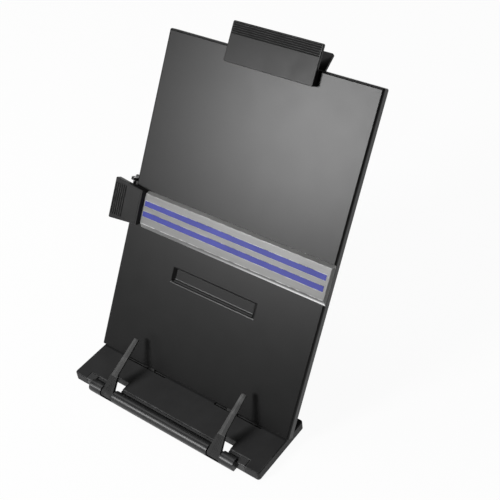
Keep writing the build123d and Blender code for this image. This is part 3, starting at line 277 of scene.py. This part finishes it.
zinc_sheet = finish(
    "zinc-plated sheet",
    dark=(0.38, 0.39, 0.41),
    light=(0.58, 0.59, 0.60),
    roughness=0.38,
    spread=0.2,
    marks=(60, 900, 900),
    fine=0.7,
    relief=0.08,
    Metallic=1.0,
)
zinc_parts = finish(
    "zinc-plated small parts",
    dark=(0.42, 0.42, 0.43),
    light=(0.60, 0.60, 0.60),
    roughness=0.3,
    spread=0.15,
    marks=(700, 700, 700),
    fine=0.5,
    relief=0.06,
    Metallic=1.0,
)
dress("steel_bottom_plate", "bottom_plate", zinc_sheet, edge=0.00015)
dress("slotted_screws", "base_screws", zinc_parts, edge=0.00015)

foot_rubber = finish(
    "foot rubber",
    dark=(0.008, 0.008, 0.008),
    light=(0.02, 0.02, 0.02),
    roughness=0.75,
    marks=(1500, 1500, 1500),
    relief=0.25,
    wear_and_sheen=0.1,
    Specular_IOR_Level=0.3,
)
dress("rubber_feet", "base_feet", foot_rubber, edge=0.0002)

# ---- front rail and lever rod ----
# A second moulding set in the base's front notch: a round bar with a ledge behind it and a lip
# below. A bright steel rod runs through the bar and carries the page levers.

rail_plastic = finish(
    "smooth black rail plastic",
    dark=(0.016, 0.016, 0.0165),
    light=(0.024, 0.024, 0.0245),
    roughness=0.36,
    relief=0.04,
    wear_and_sheen=0.5,
    Specular_IOR_Level=0.3,
)
dress("rail_moulding", "front_rail", rail_plastic, edge=0.0002)
rod_steel = finish(
    "bright drawn rod",
    dark=(0.55, 0.55, 0.55),
    light=(0.8, 0.8, 0.8),
    roughness=0.22,
    spread=0.12,
    marks=(30, 1500, 1500),
    fine=0.8,
    relief=0.05,
    Metallic=1.0,
)
dress("lever_rod_steel", "lever_rod", rod_steel)

# ---- page levers ----
# Two moulded levers that hold the page back on the board. Each turns on the steel rod by its
# hub, its arm has a shallow ridge from the step to the tip, and its web has fine ribs.

lever_plastic = finish(
    "satin lever plastic",
    dark=(0.060, 0.060, 0.060),
    light=(0.080, 0.080, 0.079),
    roughness=0.4,
    Specular_IOR_Level=0.5,
)
# The webs are rougher than the arms, and their darker colour is painted shade.
eroded_shaded_plastic = finish(
    "eroded plastic of the lever webs, with painted shade",
    dark=(0.022, 0.022, 0.022),
    light=(0.034, 0.034, 0.034),
    roughness=0.7,
    relief=0.3,
    Specular_IOR_Level=0.15,
)


def shape_group(name, inputs):
    """A Geometry Nodes group with named inputs; gives the group, its inputs and its output."""
    group = bpy.data.node_groups.new(name, "GeometryNodeTree")
    for end in ("INPUT", "OUTPUT"):
        group.interface.new_socket("Geometry", in_out=end, socket_type="NodeSocketGeometry")
    for socket, kind in inputs.items():
        group.interface.new_socket(socket, in_out="INPUT", socket_type="NodeSocket" + kind)
    given = group.nodes.new("NodeGroupInput").outputs
    return group, given, group.nodes.new("NodeGroupOutput").inputs


def grow(name, group, values, points, edges=()):
    """Runs a Geometry Nodes group on a few points and keeps the result as a plain mesh."""
    mesh = bpy.data.meshes.new(name)
    mesh.from_pydata(points, edges, [])
    piece = bpy.data.objects.new(name, mesh)
    bpy.context.scene.collection.objects.link(piece)
    maker = piece.modifiers.new(group.name, "NODES")
    maker.node_group = group
    for socket in group.interface.items_tree:
        if socket.in_out == "INPUT" and socket.name in values:
            maker[socket.identifier] = values[socket.name]
    as_plain_mesh(piece)
    return piece


ribs, given, result = shape_group(
    "moulded ribs", {"Length": "Float", "Radius": "Float", "Turn": "Rotation", "Finish": "Material"}
)
half = step(ribs, "ShaderNodeMath", {0: given["Length"], 1: -0.5}, operation="MULTIPLY")
first = step(ribs, "ShaderNodeCombineXYZ", {"X": half.outputs[0]})
spine = {"Start": first.outputs[0], "Direction": (1.0, 0.0, 0.0), "Length": given["Length"]}
line = step(ribs, "GeometryNodeCurvePrimitiveLine", spine, mode="DIRECTION")
round_bar = {"Resolution": 12, "Radius": given["Radius"]}
section = step(ribs, "GeometryNodeCurvePrimitiveCircle", round_bar, mode="RADIUS")
swept = {"Curve": line.outputs[0], "Profile Curve": section.outputs[0], "Fill Caps": True}
rib = step(ribs, "GeometryNodeCurveToMesh", swept)
placed = {"Points": given["Geometry"], "Instance": rib.outputs["Mesh"], "Rotation": given["Turn"]}
row = step(ribs, "GeometryNodeInstanceOnPoints", placed)
real = step(ribs, "GeometryNodeRealizeInstances", {"Geometry": row.outputs["Instances"]})
dressed = {"Geometry": real.outputs["Geometry"], "Material": given["Finish"]}
coloured = step(ribs, "GeometryNodeSetMaterial", dressed)
ribs.links.new(coloured.outputs["Geometry"], result["Geometry"])

MM = 0.001
LEVER_X = 62.4                         # middle of each lever, from the part's middle
LEVER_SLOPE = radians(25.5)
WEB_FOOT = 4.6                         # above the rod's axis
WEB_HEAD = 15, 9.3                     # along and above the arm
WEB_END = 14.9                         # the web reaches so far along the arm
WEB_RIB_SINK = 0.2
WEB_RIB_PLACES = -2.25, -0.75, 0.75, 2.25
SMALLEST_WEB_FACE = 1e-6               # in square metres
lever_axis = Vector((0, -41.6, 6.85))
along_arm = Vector((0, cos(LEVER_SLOPE), sin(LEVER_SLOPE)))
above_arm = Vector((0, -sin(LEVER_SLOPE), cos(LEVER_SLOPE)))
web_foot, web_head = above_arm * WEB_FOOT, along_arm * WEB_HEAD[0] + above_arm * WEB_HEAD[1]
web_turn = Vector((1, 0, 0)).rotation_difference(web_head - web_foot).to_euler()
rib_values = {"Length": 0.0135, "Radius": 0.0004, "Turn": web_turn, "Finish": eroded_shaded_plastic}
for side, lever_x in (("left", -LEVER_X), ("right", LEVER_X)):
    lever = dress(f"page_lever_{side}", f"lever_{side}", lever_plastic, edge=0.00025)
    lever.data.materials.append(eroded_shaded_plastic)
    # the web's faces take the rough plastic with painted shade
    for face in lever.data.polygons:
        reach = (face.center / MM - lever_axis).dot(along_arm)
        if reach < WEB_END and face.area > SMALLEST_WEB_FACE:
            face.material_index = 1
    web_middle = lever_axis + (web_foot + web_head) / 2 - above_arm * WEB_RIB_SINK
    places = [(web_middle + Vector((lever_x + x, 0, 0))) * MM for x in WEB_RIB_PLACES]
    web_ribs = grow(f"lever_{side}_web_ribs", ribs, rib_values, places)
    seat(web_ribs, f"lever_{side}", stands_for=False)

# ---- board ----
# A tray of one millimetre steel sheet, folded at its top and sides, with a pocket pressed into
# it. It is sprayed satin black, and the paint shows a very faint orange peel.

BOARD_TILT = radians(58.6)
board_foot = Vector((0, 0, 12.2163))
up_board = Vector((0, cos(BOARD_TILT), sin(BOARD_TILT)))
out_of_face = Vector((0, -sin(BOARD_TILT), cos(BOARD_TILT)))


def on_board(x, up, out):
    """The point `x` across, `up` the board and `out` of its face, in millimetres."""
    return (board_foot + Vector((x, 0, 0)) + up_board * up + out_of_face * out) * MM


def seen_on_board(point):
    """How far a point lies across, up the board and out of its face, in millimetres."""
    place = point / MM - board_foot
    return place.x, place.dot(up_board), place.dot(out_of_face)


board_paint = finish(
    "satin black board paint",
    dark=(0.0010, 0.0010, 0.0010),
    light=(0.0020, 0.0020, 0.0020),
    roughness=0.33,
    spread=0.03,
    marks=(420, 420, 420),
    relief=0.03,
    wear_and_sheen=0.2,
    Specular_IOR_Level=0.24,
)


POCKET_HALF_WIDTH = 47.2
POCKET_FOOT, POCKET_TOP = 86.3, 101.6
POCKET_RADIUS = 0.0011   # in metres


def in_pocket(point):
    """Whether a point of the board's mesh belongs to the pressed pocket."""
    x, up, out = seen_on_board(point)
    return abs(x) < POCKET_HALF_WIDTH and POCKET_FOOT < up < POCKET_TOP


dress("board_sheet", "board_panel", board_paint, pressed=(in_pocket, POCKET_RADIUS))

# ---- board hinge ----
# Two sheet leaves are spot-welded behind the board and rolled round short steel rods, which lie
# across the slots of the base.

black_paint = finish(
    "black paint of the fittings",
    dark=(0.008, 0.008, 0.008),
    light=(0.012, 0.012, 0.012),
    roughness=0.45,
    marks=(420, 420, 420),
    relief=0.05,
    Specular_IOR_Level=0.3,
)
black_steel = finish(
    "oiled black oxide of the hinge rods",
    dark=(0.004, 0.004, 0.004),
    light=(0.010, 0.010, 0.010),
    roughness=0.6,
    marks=(30, 1500, 1500),
    fine=0.8,
    relief=0.05,
    Specular_IOR_Level=0.2,
)
dress("hinge_leaf_left_sheet", "hinge_leaf_left", black_paint, edge=0.00012)
dress("hinge_leaf_right_sheet", "hinge_leaf_right", black_paint, edge=0.00012)
dress("hinge_rod_left_steel", "hinge_rod_left", black_steel)
dress("hinge_rod_right_steel", "hinge_rod_right", black_steel)

# ---- leg ----
# A bent wire stands behind the board. It turns in the ears of a channel that is welded behind
# the pocket, two push-on caps keep it there, and a rubber sleeve grips the desk.

wire, given, result = shape_group(
    "wire along a path", {"Radius": "Float", "Bend": "Float", "Steps": "Int", "Finish": "Material"}
)
line = step(wire, "GeometryNodeMeshToCurve", {"Mesh": given["Geometry"]})
bending = {
    "Curve": line.outputs["Curve"],
    "Radius": given["Bend"],
    "Limit Radius": True,
    "Count": given["Steps"],
}
bent = step(wire, "GeometryNodeFilletCurve", bending, mode="POLY")
round_wire = {"Resolution": 16, "Radius": given["Radius"]}
section = step(wire, "GeometryNodeCurvePrimitiveCircle", round_wire, mode="RADIUS")
swept = {"Curve": bent.outputs[0], "Profile Curve": section.outputs[0], "Fill Caps": True}
tube = step(wire, "GeometryNodeCurveToMesh", swept)
real = step(wire, "GeometryNodeRealizeInstances", {"Geometry": tube.outputs["Mesh"]})
dressed = {"Geometry": real.outputs["Geometry"], "Material": given["Finish"]}
coloured = step(wire, "GeometryNodeSetMaterial", dressed)
wire.links.new(coloured.outputs["Geometry"], result["Geometry"])

LEG_DROP = radians(58.42)
LEG_LENGTH = 100
LEG_HALF_WIDTH = 46
LEG_TIP = 54             # the bent ends reach so far from the middle
leg_pivot = Vector((0, 54.820, 88.589))
down_leg = Vector((0, cos(LEG_DROP), -sin(LEG_DROP)))
right_half = [(LEG_HALF_WIDTH, LEG_LENGTH), (LEG_HALF_WIDTH, 0), (LEG_TIP, 0)]
corners = [(-x, down) for x, down in reversed(right_half)] + right_half
leg_points = [(leg_pivot + Vector((x, 0, 0)) + down_leg * down) * MM for x, down in corners]
leg_edges = [(start, start + 1) for start in range(len(corners) - 1)]
leg_values = {"Radius": 0.002, "Bend": 0.004, "Steps": 8, "Finish": zinc_parts}
leg_wire = grow("leg_wire", wire, leg_values, leg_points, leg_edges)
seat(leg_wire, "support_leg")

dress("leg_channel", "leg_bracket", black_paint, edge=0.00015)
dress("leg_sleeve", "leg_foot_sleeve", foot_rubber, edge=0.0003)
dress("leg_caps", "leg_retainers", zinc_parts, edge=0.0002)

# ---- top clip ----
# A sprung clip that slides along the board's top edge: a moulded front plate with a ribbed
# grip, a moulded rear plate with a flared handle, a steel pin, a coil spring and a rubber pad.

clip_plastic = finish(
    "satin clip plastic",
    dark=(0.008, 0.008, 0.008),
    light=(0.013, 0.013, 0.013),
    roughness=0.34,
    spread=0.16,
    Specular_IOR_Level=0.17,
)
# The grooves are duller, and their darker colour is painted shade in the recesses.
groove_shade_plastic = finish(
    "dull plastic with painted shade in the grip's grooves",
    dark=(0.005, 0.005, 0.005),
    light=(0.008, 0.008, 0.008),
    roughness=0.6,
    wear_and_sheen=0.0,
    Specular_IOR_Level=0.12,
)


def paint_groove_shade(plate, inside):
    """Gives the dull finish, darkened with painted shade, to the faces of a clip's plate that lie
    in its grooves.
    """
    plate.data.materials.append(groove_shade_plastic)
    for face in plate.data.polygons:
        if inside(*seen_on_board(face.center)):
            face.material_index = 1


TOP_CLIP_X = 4.65        # middle of the clip, from the part's middle
TOP_CLIP_LEAN = radians(3)
TOP_PLATE_FOOT = 291     # lower edge of the front plate, up the board
TOP_PLATE_LIFT = 6.5     # its face above the board's there
TOP_GRIP_FOOT = 314.6
FIRST_TOP_RIB = 316.2
TOP_RIB_PITCH = 1.8
TOP_RIB_SINK = 0.35      # of a rib's middle, below the plate's face


def top_plate_face(up):
    """How far the front plate's face stands out of the board's at a height up the board."""
    return TOP_PLATE_LIFT - (up - TOP_PLATE_FOOT) * tan(TOP_CLIP_LEAN)


def in_top_groove(x, up, out):
    """Whether a point lies below the top clip's sloping face, within its grip."""
    return up > TOP_GRIP_FOOT and 0.08 < top_plate_face(up) - out < 0.6 and -39 < x < 48.4


top_plate = dress("top_clip_front_plate", "top_clip_front", clip_plastic, edge=0.0002)
paint_groove_shade(top_plate, in_top_groove)
land_ups = [FIRST_TOP_RIB + TOP_RIB_PITCH * count for count in range(5)]
lands = [on_board(TOP_CLIP_X, up, top_plate_face(up) - TOP_RIB_SINK) for up in land_ups]
top_rib_values = {"Length": 0.087, "Radius": 0.00055, "Turn": (0, 0, 0), "Finish": clip_plastic}
top_ribs = grow("top_clip_grip_ribs", ribs, top_rib_values, lands)
seat(top_ribs, "top_clip_front", stands_for=False)
dress("top_clip_rear_plate", "top_clip_rear", clip_plastic, edge=0.0003)
dress("top_clip_pivot_pin", "top_clip_pin", rod_steel)
dress("top_clip_grip_pad", "top_clip_pad", foot_rubber, edge=0.0002)


def coil(middle, along, outward):
    """Points of a clip's spring round its pin: a straight leg, the coil, a straight leg."""
    radius, pitch, turns = 2.9, 1.75, 7.35
    front_leg, rear_leg = 5.0, 8.0
    lean = radians(8)
    back = -(outward * cos(lean) + out_of_face * sin(lean))
    aside = back.cross(along)
    start = middle - along * (pitch * turns / 2 * MM)

    def place(turn):
        angle = 2 * pi * turn
        spoke = (aside * cos(angle) + back * sin(angle)) * radius
        return start + (along * (pitch * turn) + spoke) * MM

    def heading(turn):
        angle = 2 * pi * turn
        run = along * (pitch / (2 * pi)) + (back * cos(angle) - aside * sin(angle)) * radius
        return run.normalized() * MM

    steps = 180
    points = [place(turns * count / steps) for count in range(steps + 1)]
    return [points[0] - heading(0) * front_leg, *points, points[-1] + heading(turns) * rear_leg]


spring_values = {"Radius": 0.00055, "Bend": 0.001, "Steps": 1, "Finish": rod_steel}
across = Vector((1, 0, 0))
top_points = coil(on_board(TOP_CLIP_X, 310.5, -3.5), across, up_board)
spring_edges = [(start, start + 1) for start in range(len(top_points) - 1)]
top_coil = grow("top_clip_coil", wire, spring_values, top_points, spring_edges)
seat(top_coil, "top_clip_spring")

# ---- guide clip ----
# A second sprung clip, which slides along the board's left edge and carries the line guide.



GUIDE_CLIP_UP = 142.25   # middle of the clip, up the board
GUIDE_PLATE_LIFT = 8.0   # its face above the board's
FIRST_GUIDE_RIB = -124.1
GUIDE_RIB_PITCH = 2.4
GUIDE_RIB_SINK = 0.4
PANEL_X = -103.6         # middle of the raised panel beside the grip
PANEL_WIDTH = 16.4
PANEL_HEIGHT = 32.8      # at the grip; it runs in towards the guide
PANEL_TAPER = 1.6
PANEL_THICKNESS = 0.5    # half of it lies in the plate


def in_guide_groove(x, up, out):
    """Whether a point lies below the guide clip's face, within its grip."""
    return x < -111.5 and 7.3 < out < 7.92 and 127.3 < up < 157.2


guide_plate = dress("guide_clip_front_plate", "guide_clip_front", clip_plastic, edge=0.0002)
paint_groove_shade(guide_plate, in_guide_groove)
slab = bmesh.new()
bmesh.ops.create_cube(slab, size=1.0)
for corner in slab.verts:
    x, up, out = corner.co
    height = PANEL_HEIGHT - PANEL_TAPER * (x + 0.5)
    up_place = GUIDE_CLIP_UP - 0.5 * (x - 0.5) + up * height
    out_place = GUIDE_PLATE_LIFT + PANEL_THICKNESS * out
    corner.co = on_board(PANEL_X + PANEL_WIDTH * x, up_place, out_place)
slab_mesh = bpy.data.meshes.new("guide_clip_panel")
slab.to_mesh(slab_mesh)
slab.free()
slab_mesh.materials.append(clip_plastic)
guide_panel = bpy.data.objects.new("guide_clip_panel", slab_mesh)
bpy.context.scene.collection.objects.link(guide_panel)
round_edges(guide_panel, 0.00018)
seat(guide_panel, "guide_clip_front", stands_for=False)
up_turn = Vector((1, 0, 0)).rotation_difference(up_board).to_euler()
rib_out = GUIDE_PLATE_LIFT - GUIDE_RIB_SINK
land_places = [FIRST_GUIDE_RIB + GUIDE_RIB_PITCH * count for count in range(5)]
lands = [on_board(x, GUIDE_CLIP_UP, rib_out) for x in land_places]
guide_rib_values = {"Length": 0.030, "Radius": 0.0006, "Turn": up_turn, "Finish": clip_plastic}
guide_ribs = grow("guide_clip_grip_ribs", ribs, guide_rib_values, lands)
seat(guide_ribs, "guide_clip_front", stands_for=False)
dress("guide_clip_rear_plate", "guide_clip_rear", clip_plastic, edge=0.0003)
dress("guide_clip_pivot_pin", "guide_clip_pin", rod_steel)
dress("guide_clip_grip_pad", "guide_clip_pad", foot_rubber, edge=0.0002)
guide_points = coil(on_board(-114.5, GUIDE_CLIP_UP, -3.5), up_board, -across)
guide_coil = grow("guide_clip_coil", wire, spring_values, guide_points, spring_edges)
seat(guide_coil, "guide_clip_spring")

# ---- line guide ----
# A channel of clear acrylic, open towards the page, its inside faintly frosted. Two blue
# stripes are inlaid in its face and mark the line that is read.

acrylic = finish(
    "frosted clear acrylic",
    dark=(0.34, 0.34, 0.335),
    light=(0.41, 0.41, 0.405),
    roughness=0.3,
    spread=0.06,
    marks=(25, 900, 900),
    fine=0.6,
    relief=0.02,
    wear_and_sheen=1.0,
    Transmission_Weight=0.6,
    IOR=1.49,
)
# The lower bevel has a painted highlight: its colour turns from grey to near white towards the
# right end and towards the rim.
acrylic_bevel_highlight = finish(
    "acrylic bevel with a painted highlight",
    dark=(0.16, 0.16, 0.16),
    light=(0.90, 0.90, 0.90),
    roughness=0.2,
    relief=0.02,
    wear_and_sheen=1.0,
    IOR=1.49,
)
tree = acrylic_bevel_highlight.node_tree
place = step(tree, "ShaderNodeTexCoord").outputs["Object"]
along = step(tree, "ShaderNodeSeparateXYZ", {0: place})
highlight_end_range = {"Value": along.outputs["X"], "From Min": -0.05, "From Max": 0.09}
highlight_to_end = step(tree, "ShaderNodeMapRange", highlight_end_range)
upwards = {0: place, 1: tuple(up_board)}
height = step(tree, "ShaderNodeVectorMath", upwards, operation="DOT_PRODUCT")
RIM_UP = 124.6           # up the board, where the bevel's painted highlight is brightest
rim = on_board(0, RIM_UP, 0).dot(up_board)
above_rim = {"Value": height.outputs["Value"], "From Min": rim + 2 * MM, "From Max": rim}
to_rim = step(tree, "ShaderNodeMapRange", above_rim)
both = {0: highlight_to_end.outputs[0], 1: to_rim.outputs[0]}
painted_highlight = step(tree, "ShaderNodeMath", both, operation="MULTIPLY")
tree.links.new(painted_highlight.outputs[0], tree.nodes["Mix"].inputs["Factor"])
guide = dress("acrylic_guide", "guide_ruler", acrylic, edge=0.0003)
guide.data.materials.append(acrylic_bevel_highlight)
# the bevel faces that look down and out take the painted highlight
for face in guide.data.polygons:
    if 0.3 < -face.normal.dot(up_board) < 0.9 and face.normal.dot(out_of_face) > 0.3:
        face.material_index = 1
blue_inlay = finish(
    "blue inlay",
    dark=(0.030, 0.037, 0.25),
    light=(0.041, 0.050, 0.31),
    roughness=0.4,
    relief=0.03,
    wear_and_sheen=0.1,
    Specular_IOR_Level=0.2,
)
dress("blue_stripes", "guide_stripes", blue_inlay)

# ---- studio ----
# A white floor and a soft grey surround. One softbox to the front left is reflected across the
# upper right of the board, and a weak one behind the left draws the walls that face up.

floor_material = bpy.data.materials.new("white floor")
floor_material.use_nodes = True
tree = floor_material.node_tree
tree.nodes.clear()
paper = step(tree, "ShaderNodeBsdfDiffuse", {"Color": (0.95, 0.95, 0.95, 1.0)})
glow = step(tree, "ShaderNodeEmission", {"Color": (1.0, 1.0, 1.0, 1.0), "Strength": 1.0})
seen = step(tree, "ShaderNodeLightPath")
bounced = {0: seen.outputs["Is Glossy Ray"], 1: seen.outputs["Is Transmission Ray"]}
through = step(tree, "ShaderNodeMath", bounced, operation="ADD")
direct = {0: seen.outputs["Is Camera Ray"], 1: through.outputs[0]}
any_view = step(tree, "ShaderNodeMath", direct, operation="ADD")
part_white = {0: any_view.outputs[0], 1: 0.95}
share = step(tree, "ShaderNodeMath", part_white, operation="MULTIPLY", use_clamp=True)
shown = {0: share.outputs[0], 1: paper.outputs[0], 2: glow.outputs[0]}
mixed = step(tree, "ShaderNodeMixShader", shown)
step(tree, "ShaderNodeOutputMaterial", {"Surface": mixed.outputs[0]})

floor_mesh = bpy.data.meshes.new("floor")
FLOOR_REACH = 20.0
ways = (-1, -1), (1, -1), (1, 1), (-1, 1)
corners = [(FLOOR_REACH * x, FLOOR_REACH * y, 0) for x, y in ways]
floor_mesh.from_pydata(corners, [], [(0, 1, 2, 3)])
floor_mesh.materials.append(floor_material)
floor = bpy.data.objects.new("floor", floor_mesh)
bpy.context.scene.collection.objects.link(floor)

world = bpy.data.worlds.new("grey surround")
world.use_nodes = True
bpy.context.scene.world = world
world.node_tree.nodes["Background"].inputs["Color"].default_value = (1.0, 1.0, 1.0, 1.0)
world.node_tree.nodes["Background"].inputs["Strength"].default_value = 0.15


def towards(azimuth, elevation):
    """Unit vector from the object; azimuth 0 is the front, and it grows to the viewer's right."""
    turn, lift = radians(azimuth), radians(elevation)
    return Vector((sin(turn) * cos(lift), -cos(turn) * cos(lift), sin(lift)))


def softbox(name, way, distance, size, radiance):
    """A square soft light that faces the middle of the object."""
    light = bpy.data.lights.new(name, "AREA")
    light.size = size
    light.energy = radiance * pi * size ** 2
    lamp = bpy.data.objects.new(name, light)
    lamp.location = Vector((0, 0, 0.15)) + way * distance
    lamp.rotation_euler = way.to_track_quat("Z", "Y").to_euler()
    bpy.context.scene.collection.objects.link(lamp)


softbox("front_softbox", towards(-29.2, 26.8), distance=1.7, size=0.48, radiance=38.0)
softbox("rear_softbox", towards(-113.7, 57.3), distance=1.6, size=0.6, radiance=4.5)

# ---- camera ----
# It stands to the front right and looks down on the board, rolled a little to the left.

CAMERA_AZIMUTH = 40.59
CAMERA_ELEVATION = 40.46
CAMERA_ROLL = -6.48
CAMERA_DISTANCE = 0.754
CAMERA_TARGET = Vector((0.050487, 0.046943, 0.165636))
camera_data = bpy.data.cameras.new("camera")
camera_data.lens = 67.36
camera_data.sensor_width = 36.0
camera_data.clip_start = 0.01
camera = bpy.data.objects.new("camera", camera_data)
camera_way = towards(CAMERA_AZIMUTH, CAMERA_ELEVATION)
upright = camera_way.to_track_quat("Z", "Y").to_matrix()
turned = upright @ Matrix.Rotation(radians(CAMERA_ROLL), 3, "Z")
placed = Matrix.Translation(CAMERA_TARGET + camera_way * CAMERA_DISTANCE)
camera.matrix_world = placed @ turned.to_4x4()
bpy.context.scene.collection.objects.link(camera)
bpy.context.scene.camera = camera
bpy.context.scene.view_settings.view_transform = "Standard"
